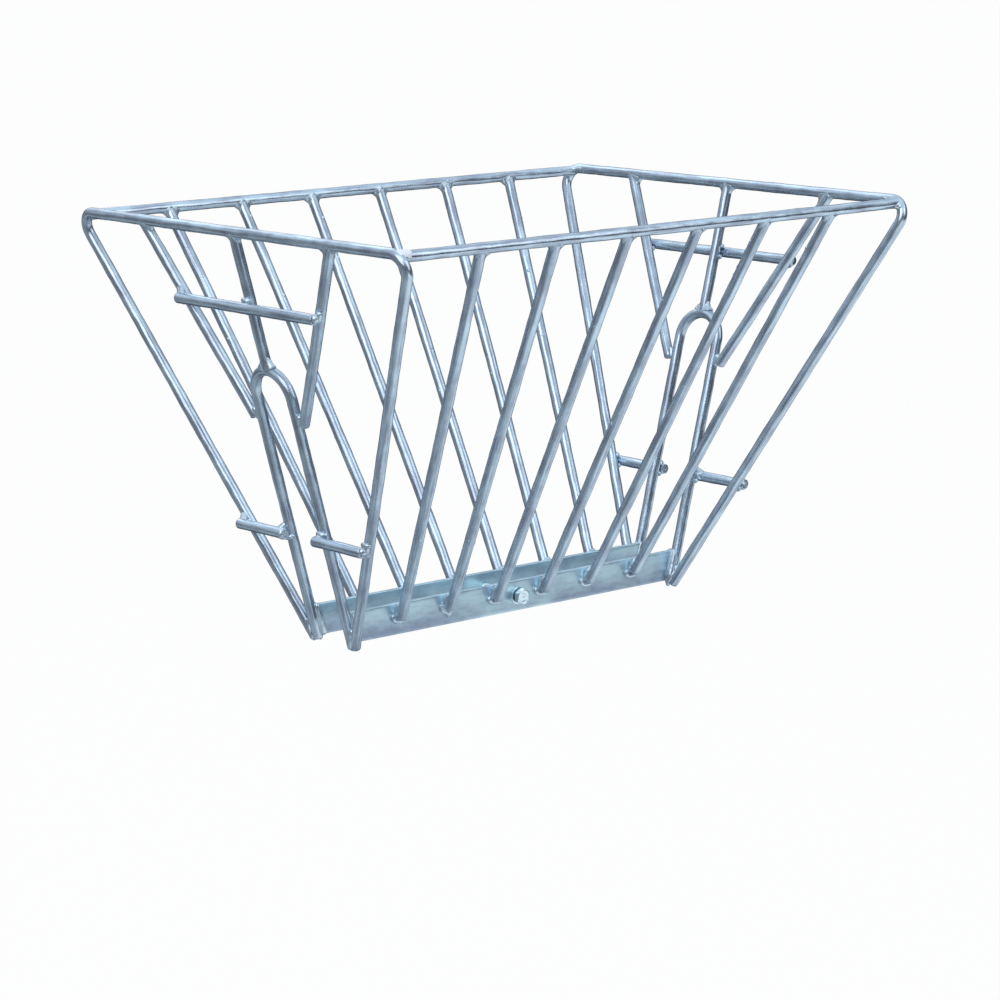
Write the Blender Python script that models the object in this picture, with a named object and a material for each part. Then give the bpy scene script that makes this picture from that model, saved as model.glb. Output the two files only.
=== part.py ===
"""Over-fence hay rack: an open basket of round steel bars that hangs on a fence's top rail.

The origin is on the axis of the fence's top rail, half way along the rack. X runs along the
fence, Y across it (the front is at -Y) and Z is up. The rack is the same after half a turn
about Z, so one end and one side are modelled in their own frames and placed twice.
"""

import math

import bmesh
import bpy
from mathutils import Vector

# Round bar, and the small space that is left between two pieces that are welded together
BAR_RADIUS = 0.006
GAP = 0.0003
BAR_SIDES = 24

# The fence's top rail that the hooks sit on
RAIL_RADIUS = 0.01685

# Heights above the rail's axis
RIM_Z = 0.174
CROSS_BAR_Z = 0.096
SLANT_FOOT_Z = -0.032
STRUT_Z = -0.161
SILL_Z = -0.266
FOOT_Z = -0.287

# Half lengths along the fence, at the rim and at the sill
RIM_HALF_LENGTH = 0.361
SILL_HALF_LENGTH = 0.243

# Half widths of an end frame, at its sharp upper corner and at the sill, and its bend's radius
CORNER_Y = 0.2955
CORNER_SILL_Y = 0.0475
BEND_RADIUS = 0.018
BEND_STEPS = 8

# Where a long rim bar meets the end frame's bend
RIM_BAR_ANGLE = math.radians(34)

# Hook: an inverted U of bar that sits on the rail and runs down both sides of the fence
LEG_Y = 0.0315
HOOK_STEPS = 10

# Bars inside an end frame
SLANT_TOP_Y = 0.167
SLANT_FOOT_Y = 0.0434
CROSS_BAR_ENDS_Y = (-0.1165, 0.125)
STRUT_INNER_Y = 0.0272
STRUT_OUTER_Y = 0.109

# Bars of a long side
BARS_PER_SIDE = 6
RIM_PITCH = 0.1012
SILL_PITCH = 0.0693

# Flat bar between the legs of the two hooks
SILL_INNER_Y = 0.026
SILL_THICKNESS = 0.005
SILL_DEPTH = 0.035

# Bolt, washers and nut that lock the rack under the fence's second rail
BOLT_RADIUS = 0.005
BOLT_LENGTH = 0.080
HOLE_RADIUS = 0.0055
HEX_ACROSS_FLATS = 0.017
HEAD_HEIGHT = 0.0064
NUT_HEIGHT = 0.0084
WASHER_RADIUS = 0.010
WASHER_THICKNESS = 0.002
SPRING_WASHER_RADIUS = 0.009
SPRING_WASHER_THICKNESS = 0.0022

# Values that follow from the ones above
LEAN = math.atan((RIM_HALF_LENGTH - SILL_HALF_LENGTH) / (RIM_Z - SILL_Z))
SILL_OUTER_Y = SILL_INNER_Y + SILL_THICKNESS
HEX_RADIUS = HEX_ACROSS_FLATS / 2 / math.cos(math.radians(30))
CROWN_Z = RAIL_RADIUS + BAR_RADIUS
BORE_RADIUS = BOLT_RADIUS + GAP


def clear_scene():
    """Remove every object of the open scene."""
    for old in list(bpy.data.objects):
        bpy.data.objects.remove(old, do_unlink=True)


def new_collection(name):
    """Add a collection to the scene."""
    collection = bpy.data.collections.new(name)
    bpy.context.scene.collection.children.link(collection)
    return collection


def move_to(collection, obj):
    """Leave an object in one collection only."""
    for old in list(obj.users_collection):
        old.objects.unlink(obj)
    collection.objects.link(obj)


def steel(name, colour, roughness):
    """A zinc-coated steel for one piece."""
    material = bpy.data.materials.new(name)
    material.use_nodes = True
    shader = material.node_tree.nodes["Principled BSDF"]
    shader.inputs["Base Color"].default_value = (*colour, 1.0)
    shader.inputs["Roughness"].default_value = roughness
    shader.inputs["Metallic"].default_value = 1.0
    return material


def new_empty(name, turn, parent=None, location=(0, 0, 0), lean=0.0):
    """A frame for a group of pieces: leaned about Y, then turned about Z."""
    empty = bpy.data.objects.new(name, None)
    empty.location = location
    empty.rotation_euler = (0, lean, turn)
    empty.empty_display_size = 0.05
    empty.parent = parent
    PARTS.objects.link(empty)
    return empty


def finish_piece(obj, name, parent, colour=(0.52, 0.60, 0.66), roughness=0.38):
    """Name a piece, put it under its parent and give it its own material."""
    obj.name = name
    obj.data.name = name
    obj.parent = parent
    move_to(PARTS, obj)
    obj.data.materials.clear()
    obj.data.materials.append(steel(name, colour, roughness))
    obj.data.shade_smooth()
    obj.data.set_sharp_from_angle(angle=math.radians(40))
    return obj


def finish_cutter(obj, name, parent):
    """Put a cutting shape away in the cutters' collection."""
    obj.name = name
    obj.parent = parent
    obj.hide_render = True
    obj.display_type = "WIRE"
    move_to(CUTTERS, obj)
    return obj


def straight_rod(start, end, radius, sides=BAR_SIDES):
    """A cylinder between two points of its parent's frame."""
    start = Vector(start)
    end = Vector(end)
    along = end - start
    bpy.ops.mesh.primitive_cylinder_add(vertices=sides, radius=radius, depth=along.length)
    rod = bpy.context.active_object
    rod.rotation_euler = along.to_track_quat("Z", "Y").to_euler()
    rod.location = (start + end) / 2
    return rod


def rounded_path(corners, radius, steps):
    """The path through corner points in the YZ plane, each inner corner rounded to an arc."""
    points = [Vector(corners[0])]
    for before, corner, after in zip(corners, corners[1:], corners[2:]):
        corner = Vector(corner)
        back = (Vector(before) - corner).normalized()
        onward = (Vector(after) - corner).normalized()
        half_angle = back.angle(onward) / 2
        centre = corner + (back + onward).normalized() * (radius / math.sin(half_angle))
        first = corner + back * (radius / math.tan(half_angle)) - centre
        last = corner + onward * (radius / math.tan(half_angle)) - centre
        sweep = first.angle(last)
        for step in range(steps + 1):
            share = step / steps
            spoke = first * math.sin((1 - share) * sweep) + last * math.sin(share * sweep)
            point = centre + spoke / math.sin(sweep)
            if (point - points[-1]).length > GAP:
                points.append(point)
    points.append(Vector(corners[-1]))
    return points


def bent_rod(points, radius):
    """A round bar bent along a path: a bevelled curve, then turned into a mesh."""
    curve = bpy.data.curves.new("bent_rod", "CURVE")
    curve.dimensions = "3D"
    curve.bevel_depth = radius
    curve.bevel_resolution = (BAR_SIDES - 4) // 2
    curve.use_fill_caps = True
    spline = curve.splines.new("POLY")
    spline.points.add(len(points) - 1)
    for slot, point in zip(spline.points, points):
        slot.co = (*point, 1.0)
    return to_mesh(curve)


def to_mesh(curve):
    """Make a mesh object from a curve, with its caps welded on, and remove the curve."""
    source = bpy.data.objects.new("curve_source", curve)
    PARTS.objects.link(source)
    bpy.context.view_layer.update()
    evaluated = source.evaluated_get(bpy.context.evaluated_depsgraph_get())
    mesh = bpy.data.meshes.new_from_object(evaluated)
    shape = bmesh.new()
    shape.from_mesh(mesh)
    bmesh.ops.remove_doubles(shape, verts=shape.verts, dist=0.00001)
    bmesh.ops.recalc_face_normals(shape, faces=shape.faces)
    shape.to_mesh(mesh)
    shape.free()
    solid = bpy.data.objects.new("solid", mesh)
    solid.matrix_world = source.matrix_world
    PARTS.objects.link(solid)
    bpy.data.objects.remove(source, do_unlink=True)
    bpy.data.curves.remove(curve)
    return solid


def boolean(obj, tool, operation="DIFFERENCE"):
    """Cut a piece with another shape, or join the shape to it."""
    modifier = obj.modifiers.new(tool.name, "BOOLEAN")
    modifier.operation = operation
    modifier.solver = "EXACT"
    modifier.object = tool


def down_the_end(z):
    """Distance down a leaning end, from the rim to a height."""
    return (RIM_Z - z) / math.cos(LEAN)


def end_frame_path():
    """Up one corner bar, over the rim and down the other, in the end's own frame."""
    slope = (CORNER_Y - CORNER_SILL_Y) / (RIM_Z - SILL_Z)
    foot_y = CORNER_Y - slope * (RIM_Z - FOOT_Z)
    foot = -down_the_end(FOOT_Z)
    corners = [(0, -foot_y, foot), (0, -CORNER_Y, 0), (0, CORNER_Y, 0), (0, foot_y, foot)]
    return rounded_path(corners, BEND_RADIUS, BEND_STEPS)


def hook_path():
    """Up one leg, over the rail and down the other leg, in the end's own frame."""
    crown = -down_the_end(CROWN_Z)
    foot = -down_the_end(FOOT_Z)
    corners = [(0, -LEG_Y, foot), (0, -LEG_Y, crown), (0, LEG_Y, crown), (0, LEG_Y, foot)]
    return rounded_path(corners, LEG_Y, HOOK_STEPS)


def build_end(end, turn):
    """One end: a bent frame, the hook inside it and the bars that brace them."""
    radius = BAR_RADIUS
    reach = RIM_HALF_LENGTH * math.cos(turn)
    frame = new_empty("end_" + end, turn, RACK, (reach, 0, RIM_Z), LEAN)
    front = -round(math.cos(turn))

    hook_space = finish_cutter(bent_rod(hook_path(), radius + GAP), "hook_space_" + end, frame)
    frame_space = finish_cutter(
        bent_rod(end_frame_path(), radius + GAP), "end_frame_space_" + end, frame
    )

    # The corner bars' feet are cut to the legs that they are welded to
    end_frame = finish_piece(bent_rod(end_frame_path(), radius), "end_frame_" + end, frame)
    boolean(end_frame, hook_space)
    finish_piece(bent_rod(hook_path(), radius), "hook_" + end, frame)

    # The centre bar stands on the hook's crown and carries the middle of the rim
    crown = -down_the_end(CROWN_Z)
    centre_bar = straight_rod((0, 0, crown), (0, 0, 0), radius)
    finish_piece(centre_bar, "centre_bar_" + end, frame)
    boolean(centre_bar, hook_space)
    boolean(centre_bar, frame_space)

    # The cross bar lies on the outer side of the slant bars and of the centre bar
    outer = 2 * radius + GAP
    height = -down_the_end(CROSS_BAR_Z)
    low_y, high_y = CROSS_BAR_ENDS_Y
    cross_bar = straight_rod((outer, low_y, height), (outer, high_y, height), radius)
    finish_piece(cross_bar, "cross_bar_" + end, frame)

    for side, sign in (("front", front), ("rear", -front)):
        slant_foot = -down_the_end(SLANT_FOOT_Z)
        slant_bar = straight_rod(
            (0, sign * SLANT_FOOT_Y, slant_foot), (0, sign * SLANT_TOP_Y, 0), radius
        )
        finish_piece(slant_bar, "slant_bar_" + end + "_" + side, frame)
        boolean(slant_bar, frame_space)

        height = -down_the_end(STRUT_Z)
        strut = straight_rod(
            (outer, sign * STRUT_INNER_Y, height), (outer, sign * STRUT_OUTER_Y, height), radius
        )
        finish_piece(strut, "lower_strut_" + end + "_" + side, frame)
    return frame_space


def rim_bar_line():
    """Where a long rim bar runs: its distance from the fence, its height and its half length."""
    half_angle = math.atan2(RIM_Z - SILL_Z, (CORNER_Y - CORNER_SILL_Y) * math.cos(LEAN)) / 2
    bend_y = CORNER_Y - BEND_RADIUS / math.tan(half_angle)
    below = BEND_RADIUS * (1 - math.cos(RIM_BAR_ANGLE))
    y = bend_y + BEND_RADIUS * math.sin(RIM_BAR_ANGLE)
    return y, RIM_Z - below * math.cos(LEAN), RIM_HALF_LENGTH - below * math.sin(LEAN)


def build_sill_plate(side, frame, hole_cutter):
    """A flat bar on edge, its ends cut to the lean of the legs, with the bolt's hole."""
    sill = []
    for z in (SILL_Z + SILL_DEPTH / 2, SILL_Z - SILL_DEPTH / 2):
        half = RIM_HALF_LENGTH - (RIM_Z - z) * math.tan(LEAN) - (BAR_RADIUS + GAP) / math.cos(LEAN)
        sill.append((half, z - SILL_Z))
    (top_half, top), (low_half, low) = sill
    curve = bpy.data.curves.new("sill_outline", "CURVE")
    curve.dimensions = "2D"
    curve.fill_mode = "BOTH"
    curve.extrude = SILL_THICKNESS / 2
    spline = curve.splines.new("POLY")
    spline.points.add(3)
    outline = ((-low_half, low), (low_half, low), (top_half, top), (-top_half, top))
    for slot, (x, y) in zip(spline.points, outline):
        slot.co = (x, y, 0, 1)
    spline.use_cyclic_u = True
    plate = to_mesh(curve)
    plate.rotation_euler = (math.radians(90), 0, 0)
    plate.location = (0, -(SILL_INNER_Y + SILL_OUTER_Y) / 2, SILL_Z)
    finish_piece(plate, "sill_plate_" + side, frame, (0.50, 0.62, 0.70), 0.45)
    boolean(plate, hole_cutter)


def build_side(side, turn, end_spaces, hole_cutter):
    """One long side: the rim bar, the slanting bars and the flat bar at their feet."""
    frame = new_empty("side_" + side, turn, RACK)
    y, z, half = rim_bar_line()

    rim_space = straight_rod((-half, -y, z), (half, -y, z), BAR_RADIUS + GAP)
    finish_cutter(rim_space, "rim_space_" + side, frame)
    rim_bar = straight_rod((-half, -y, z), (half, -y, z), BAR_RADIUS)
    finish_piece(rim_bar, "rim_bar_" + side, frame)
    for space in end_spaces:
        boolean(rim_bar, space)

    build_sill_plate(side, frame, hole_cutter)

    # A bar's square lower end meets the sill plate with its inner edge
    drop = z - SILL_Z
    run = y - SILL_OUTER_Y
    edge = BAR_RADIUS * drop / math.hypot(drop, run)
    foot_y = SILL_OUTER_Y + GAP + edge
    for number in range(1, BARS_PER_SIDE + 1):
        place = number - (BARS_PER_SIDE + 1) / 2
        bar = straight_rod(
            (place * SILL_PITCH, -foot_y, SILL_Z), (place * RIM_PITCH, -y, z), BAR_RADIUS
        )
        finish_piece(bar, side + "_bar_" + str(number), frame)
        boolean(bar, rim_space)


def build_ring(name, radius, thickness, near_y):
    """A ring round the bolt, its near face at a distance from the fence."""
    far_y = near_y + math.copysign(thickness, near_y)
    ring = straight_rod((0, near_y, SILL_Z), (0, far_y, SILL_Z), radius)
    finish_piece(ring, name, RACK, (0.62, 0.68, 0.74), 0.35)
    boolean(ring, BORE)
    return far_y + math.copysign(GAP, near_y)


def build_lock():
    """The hexagon bolt through both sill plates, with its washers and its nut."""
    front_y = -(SILL_OUTER_Y + GAP)
    front_y = build_ring("lock_washer_front", WASHER_RADIUS, WASHER_THICKNESS, front_y)
    slot_y = front_y
    front_y = build_ring(
        "lock_spring_washer", SPRING_WASHER_RADIUS, SPRING_WASHER_THICKNESS, front_y
    )

    # The spring washer is one turn of wire with a slanting gap
    bpy.ops.mesh.primitive_cube_add(size=1)
    slot = bpy.context.active_object
    slot.scale = (0.0015, 0.006, 0.012)
    slot.rotation_euler = (0, 0, math.radians(20))
    slot.location = (0, slot_y, SILL_Z + WASHER_RADIUS)
    finish_cutter(slot, "spring_washer_gap", RACK)
    boolean(bpy.data.objects["lock_spring_washer"], slot)

    head = straight_rod((0, front_y - HEAD_HEIGHT, SILL_Z), (0, front_y, SILL_Z), HEX_RADIUS, 6)
    finish_cutter(head, "bolt_head", RACK)
    bolt = straight_rod(
        (0, front_y - HEAD_HEIGHT / 2, SILL_Z), (0, front_y + BOLT_LENGTH, SILL_Z), BOLT_RADIUS
    )
    finish_piece(bolt, "lock_bolt", RACK, (0.70, 0.76, 0.82), 0.32)
    boolean(bolt, head, "UNION")

    rear_y = SILL_OUTER_Y + GAP
    rear_y = build_ring("lock_washer_rear", WASHER_RADIUS, WASHER_THICKNESS, rear_y)
    nut = straight_rod((0, rear_y, SILL_Z), (0, rear_y + NUT_HEIGHT, SILL_Z), HEX_RADIUS, 6)
    finish_piece(nut, "lock_nut", RACK, (0.70, 0.76, 0.82), 0.32)
    boolean(nut, BORE)


clear_scene()
PARTS = new_collection("over_fence_hay_rack")
CUTTERS = new_collection("cutters")
RACK = new_empty("rack", 0.0)
BORE = finish_cutter(
    straight_rod((0, -2 * LEG_Y, SILL_Z), (0, 2 * LEG_Y, SILL_Z), BORE_RADIUS), "bore", RACK
)
PLATE_HOLE = finish_cutter(
    straight_rod((0, -2 * LEG_Y, SILL_Z), (0, 2 * LEG_Y, SILL_Z), HOLE_RADIUS), "plate_hole", RACK
)
END_SPACES = [build_end("right", 0.0), build_end("left", math.pi)]
build_side("front", 0.0, END_SPACES, PLATE_HOLE)
build_side("rear", math.pi, END_SPACES, PLATE_HOLE)
build_lock()
bpy.context.view_layer.update()
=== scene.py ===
"""The looks of a hay rack on two hooks: galvanised round bar, flat bar, weld beads and a bolt.

All sizes are in metres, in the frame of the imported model: X runs along the rack, the front is
at -Y, Z is up, and the origin is midway between the hooks, 17 mm under their crowns.
"""

import math

import bmesh
import bpy
import numpy as np
from mathutils import Matrix, Vector


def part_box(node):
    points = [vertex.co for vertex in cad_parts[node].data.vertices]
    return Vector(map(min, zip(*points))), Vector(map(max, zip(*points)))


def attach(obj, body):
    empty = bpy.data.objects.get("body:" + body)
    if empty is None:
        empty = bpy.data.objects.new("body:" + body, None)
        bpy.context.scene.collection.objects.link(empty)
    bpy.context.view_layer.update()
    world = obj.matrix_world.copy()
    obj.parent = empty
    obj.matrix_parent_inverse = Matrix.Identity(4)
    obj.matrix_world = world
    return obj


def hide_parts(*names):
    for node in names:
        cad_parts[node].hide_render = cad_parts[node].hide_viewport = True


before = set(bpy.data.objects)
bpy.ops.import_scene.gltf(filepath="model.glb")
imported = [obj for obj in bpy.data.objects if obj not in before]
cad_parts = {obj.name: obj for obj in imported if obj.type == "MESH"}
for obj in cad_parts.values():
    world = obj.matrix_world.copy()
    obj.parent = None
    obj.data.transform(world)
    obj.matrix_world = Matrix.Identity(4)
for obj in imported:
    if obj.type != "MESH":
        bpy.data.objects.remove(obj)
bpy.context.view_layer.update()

# Camera and studio. The camera stands to the left of the rack's front and looks a little down
# through a long lens. Bright bar needs something dark to mirror, so the metal sees a pale card
# on the floor to the front and right, a dark strip beyond it and behind, and grey elsewhere.
camera_place = Vector((-2.4076, -2.8430, 0.5676))
camera_azimuth = math.radians(40.28)
camera_elevation = math.radians(11.056)
camera_roll = math.radians(0.539)
focal_pixels = 3342.7
picture_pixels = 1000
floor_z = -1.05
dark_side = (0.64, -0.77, 0.0)
far_side = (0.64, 0.77, 0.0)
dark_grey = (0.05, 0.06, 0.07, 1)
white = (1, 1, 1, 1)

camera_data = bpy.data.cameras.new("camera")
camera_data.lens = focal_pixels / picture_pixels * camera_data.sensor_width
camera = bpy.data.objects.new("camera", camera_data)
camera.matrix_world = (
    Matrix.Translation(camera_place) @ Matrix.Rotation(-camera_azimuth, 4, "Z")
    @ Matrix.Rotation(math.pi / 2 - camera_elevation, 4, "X")
    @ Matrix.Rotation(-camera_roll, 4, "Z")
)
bpy.context.scene.collection.objects.link(camera)
bpy.context.scene.camera = camera
bpy.context.scene.view_settings.view_transform = "Standard"


class Value:
    """One output of a shader node, on which sums are written as in Python."""

    def __init__(self, tree, socket):
        self.tree = tree
        self.socket = socket

    def node(self, kind, settings=None, sockets=None, output=0):
        """Add any shader node: first its settings, then the values or links of its sockets."""
        made = self.tree.nodes.new("ShaderNode" + kind)
        for name, value in (settings or {}).items():
            if name == "ramp":
                stops = made.color_ramp.elements
                while len(stops) < len(value):
                    stops.new(0.5)
                for stop, (place, colour) in zip(stops, value):
                    stop.position = place
                    stop.color = (*colour, 1.0)
            else:
                setattr(made, name, value)
        for name, value in (sockets or {}).items():
            if isinstance(value, Value):
                self.tree.links.new(value.socket, made.inputs[name])
            else:
                made.inputs[name].default_value = value
        return Value(self.tree, made.outputs[output])

    def output(self, name):
        """Another output of the node that this value comes from."""
        return Value(self.tree, self.socket.node.outputs[name])

    def feed(self, node):
        """Link this value to the surface of an output node."""
        self.tree.links.new(self.socket, node.inputs["Surface"])

    def math(self, operation, first, second=0.0):
        """Add a Math node with its operation and its two inputs."""
        return self.node("Math", {"operation": operation}, {0: first, 1: second})

    def mix(self, low, high):
        """Blend two colours, with this value as the share of the second."""
        return self.node("Mix", {"data_type": "RGBA"}, {0: self, 6: low, 7: high}, output=2)

    def between(self, low, high):
        """Map this value to 0..1 between two levels, with smooth ends."""
        return self.node(
            "MapRange", {"interpolation_type": "SMOOTHSTEP"},
            {0: self, 1: low, 2: high, 3: 0.0, 4: 1.0},
        )

    def __add__(self, other):
        return self.math("ADD", self, other)

    __radd__ = __add__

    def __sub__(self, other):
        return self.math("SUBTRACT", self, other)

    def __rsub__(self, other):
        return self.math("SUBTRACT", other, self)

    def __mul__(self, other):
        return self.math("MULTIPLY", self, other)

    __rmul__ = __mul__


def start_tree(owner, output_kind):
    """Empty the nodes of a world or a material; the Value in return adds all others."""
    owner.use_nodes = True
    owner.node_tree.nodes.clear()
    return Value(owner.node_tree, None), owner.node_tree.nodes.new("ShaderNode" + output_kind)


def ray_kinds(nodes):
    """How far a ray comes from the camera, and how far from a mirror or through glass."""
    path = nodes.node("LightPath")
    return path, path.output("Is Glossy Ray") + path.output("Is Transmission Ray")


def reach_towards(nodes, vector, way):
    """How far a vector reaches in a fixed direction: their dot product."""
    return nodes.node("VectorMath", {"operation": "DOT_PRODUCT"}, {0: vector, 1: way}, "Value")


# White to the camera. To the metal it is a pale sky over a grey wall with a dark side.
world = bpy.data.worlds.new("studio")
bpy.context.scene.world = world
nodes, output = start_tree(world, "OutputWorld")
seen, mirrored = ray_kinds(nodes)
direction = nodes.node("TexCoord")
up = nodes.node("SeparateXYZ", sockets={0: direction}).output("Z")
height = up * 0.5 + 0.5
grey_wall = nodes.node("ValToRGB", {"ramp": [
    (0.50, (0.19, 0.205, 0.22)), (0.57, (0.23, 0.25, 0.28)),
    (0.64, (0.40, 0.46, 0.53)), (0.80, (0.68, 0.78, 0.87)), (1.0, (0.76, 0.87, 0.98)),
]}, {0: height})
dark_wall = nodes.node("ValToRGB", {"ramp": [
    (0.50, (0.02, 0.03, 0.04)), (0.61, (0.06, 0.08, 0.10)),
    (0.70, (0.40, 0.46, 0.53)), (0.80, (0.70, 0.80, 0.89)), (1.0, (0.76, 0.87, 0.98)),
]}, {0: height})
wall = reach_towards(nodes, direction, dark_side).between(-0.1, 0.6).mix(grey_wall, dark_wall)
recess = reach_towards(nodes, direction, far_side).between(0.45, 0.90)
sky = (recess * up.between(0.42, 0.12)).mix(wall, dark_grey)
light = nodes.node("Background", sockets={0: sky})
backdrop = nodes.node("Background", sockets={0: white})
shown = seen + mirrored * 0.04
nodes.node("MixShader", sockets={0: shown, 1: light, 2: backdrop}).feed(output)

# A plain pale floor: nearly white to the camera, and a pale card with soft edges to metal.
bpy.ops.mesh.primitive_plane_add(size=160, location=(0, 0, floor_z))
floor = bpy.context.active_object
floor.name = "floor"
material = bpy.data.materials.new("floor_white")
nodes, output = start_tree(material, "OutputMaterial")
seen, mirrored = ray_kinds(nodes)
place = nodes.node("TexCoord", output="Object")
x = nodes.node("SeparateXYZ", sockets={0: place})
y = x.output("Y")
front = y.between(-0.20, -0.80) * x.between(-1.20, -0.20)
right = x.between(0.20, 1.00) * y.between(0.40, -0.40)
card = nodes.math("MAXIMUM", front, right * 0.95)
behind = x.between(-0.90, -0.30) * y.between(0.30, 0.90)
middle = x.between(-1.90, -1.00).mix((0.19, 0.21, 0.225, 1), (0.36, 0.42, 0.46, 1))
near_colour = card.mix(behind.mix(middle, dark_grey), (0.88, 0.95, 1.0, 1))
reach = reach_towards(nodes, place, dark_side)
card_colour = reach.between(3.0, 5.2).mix(near_colour, (0.03, 0.04, 0.05, 1))
paint = nodes.node("BsdfDiffuse", sockets={0: (0.62, 0.64, 0.66, 1)})
glow = nodes.node("Emission", sockets={0: white})
pale = nodes.node("MixShader", sockets={0: seen * 0.97, 1: paint, 2: glow})
lit_card = nodes.node("Emission", sockets={0: card_colour})
nodes.node("MixShader", sockets={0: mirrored, 1: pale, 2: lit_card}).feed(output)
floor.data.materials.append(material)

# Soft square lamps, each pointed at the middle of the rack: name, place, size and watts.
for name, place, size, watts in (
    ("key_lamp", (-3.0, -1.5, 1.9), 3.0, 42),
    ("fill_lamp", (1.6, -3.2, 1.6), 2.4, 21),
    ("back_lamp", (0.6, 3.0, 2.4), 2.6, 13),
):
    lamp_data = bpy.data.lights.new(name, "AREA")
    lamp_data.size = size
    lamp_data.energy = watts
    lamp = bpy.data.objects.new(name, lamp_data)
    lamp.location = place
    lamp.rotation_euler = (-Vector(place)).to_track_quat("-Z", "Y").to_euler()
    bpy.context.scene.collection.objects.link(lamp)

# End frames. Each is one length of 12 mm round bar, bent cold at its two upper corners. The
# whole rack is dipped in molten zinc after welding, which leaves a slightly wavy coat and
# a low dome on every end that the zinc ran off.
bar_radius = 0.006
rim_z = 0.174
sill_z = -0.266
foot_z = -0.287
rim_half = 0.361
sill_half = 0.243
corner_y = 0.2955
corner_sill_y = 0.0475
bend_radius = 0.018
path_step = 0.003
bar_columns = 32
worn_edge = 0.0009
drip_height = 0.0022
lean = math.atan((rim_half - sill_half) / (rim_z - sill_z))
corner_slope = (corner_y - corner_sill_y) / (rim_z - sill_z)
end_signs = (("left", -1), ("right", 1))


def up_the_end(z):
    """Distance up a leaning end from the rim to a height; it is negative below the rim."""
    return (z - rim_z) / math.cos(lean)


def end_point(sign, out, y, up):
    """A point of an end's own frame in the world: out of its plane, across it and up it."""
    out, y, up = np.broadcast_arrays(*(np.asarray(v, float) for v in (out, y, up)))
    x = sign * (rim_half + up * math.sin(lean) + out * math.cos(lean))
    return np.stack([x, y, rim_z + up * math.cos(lean) - out * math.sin(lean)], axis=-1)


def end_way(sign, out, y, up):
    """A direction of an end's own frame in the world."""
    return end_point(sign, out, y, up) - end_point(sign, 0, 0, 0)


def unit(vector):
    """A vector, or a row of them, at length one."""
    vector = np.asarray(vector, float)
    return vector / np.linalg.norm(vector, axis=-1, keepdims=True)


def full_turn(columns):
    """Even angles round a circle."""
    return np.linspace(0, 2 * math.pi, columns, endpoint=False)


def distances(points):
    """Distance of each point of a row from the first, measured along the row."""
    return np.r_[0, np.cumsum(np.linalg.norm(np.diff(points, axis=0), axis=1))]


def rounded_line(corners, radius):
    """Evenly spaced points through flat corners, each inner one rounded by an arc.

    An arc's centre lies on the corner's bisector at radius / sin(half angle).
    """
    corners = np.array(corners, float)
    pieces = [corners[:1]]
    for before, corner, after in zip(corners, corners[1:], corners[2:]):
        back, onward = unit(before - corner), unit(after - corner)
        half = math.acos(float(back @ onward)) / 2
        centre = corner + unit(back + onward) * radius / math.sin(half)
        first = corner + back * radius / math.tan(half) - centre
        last = corner + onward * radius / math.tan(half) - centre
        sweep = math.pi - 2 * half
        share = np.linspace(0, 1, 40)[:, None]
        arc = first * np.sin((1 - share) * sweep) + last * np.sin(share * sweep)
        pieces.append(centre + arc / math.sin(sweep))
    points = np.concatenate(pieces + [corners[-1:]])
    lengths = distances(points)
    apart = np.r_[True, np.diff(lengths) > 1e-7]
    points, lengths = points[apart], lengths[apart]
    even = np.linspace(0, lengths[-1], int(lengths[-1] / path_step) + 2)
    return np.stack([np.interp(even, lengths, points[:, k]) for k in (0, 1)], axis=-1)


def mesh_from_grids(grids):
    """Closed surfaces in one mesh, each from a grid: rows along a path, columns round it.

    The first and last rows of a grid are either one point each, or the same ring twice, and
    merging the doubles closes both. The attribute "lay" is where a point lies on its bar: the
    radius times the cosine and the sine of the angle, and a twentieth of the distance along.
    """
    points, faces, lays = [], [], []
    start = 0
    for grid in grids:
        rows, columns = grid.shape[:2]
        row = np.arange(rows - 1)[:, None] * columns
        column = np.arange(columns)[None]
        after = (column + 1) % columns
        quads = [row + column, row + after, row + columns + after, row + columns + column]
        faces.append(np.stack(quads, axis=-1).reshape(-1, 4) + start)
        points.append(grid.reshape(-1, 3))
        angle = full_turn(columns)[None]
        along = distances(grid.mean(axis=1))[:, None] / 20 + start * 1e-6
        lay = np.broadcast_arrays(bar_radius * np.cos(angle), bar_radius * np.sin(angle), along)
        lays.append(np.stack(lay, axis=-1).reshape(-1, 3))
        start += rows * columns
    mesh = bpy.data.meshes.new("surfaces")
    mesh.from_pydata(np.concatenate(points).tolist(), [], np.concatenate(faces).tolist())
    layer = mesh.attributes.new("lay", "FLOAT_VECTOR", "POINT")
    layer.data.foreach_set("vector", np.concatenate(lays).ravel())
    shape = bmesh.new()
    shape.from_mesh(mesh)
    bmesh.ops.remove_doubles(shape, verts=shape.verts, dist=1e-7)
    bmesh.ops.recalc_face_normals(shape, faces=shape.faces)
    shape.to_mesh(mesh)
    shape.free()
    return mesh


def add_piece(name, mesh, material, replaced=(), crease=None):
    """Put a mesh in the scene on the rack's one body, smooth but for edges past the crease."""
    mesh.name = name
    mesh.shade_smooth()
    if crease:
        mesh.set_sharp_from_angle(angle=math.radians(crease))
    mesh.materials.append(material)
    piece = bpy.data.objects.new(name, mesh)
    bpy.context.scene.collection.objects.link(piece)
    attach(piece, "root")
    if replaced:
        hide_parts(*replaced)


def zinc_waves(along, angle, seed):
    """Height of the zinc coat's waves: a sum of sines along the bar that turn as they go."""
    chance = np.random.default_rng(seed)
    height = 0.0
    for wavelength, size in ((0.090, 0.00012), (0.041, 0.00008), (0.019, 0.00005)):
        turns = chance.integers(-2, 3)
        phase = chance.uniform(0, 2 * math.pi)
        wave = 2 * math.pi * along / wavelength + turns * angle + phase
        height = height + size * np.sin(wave)
    return height


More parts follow.
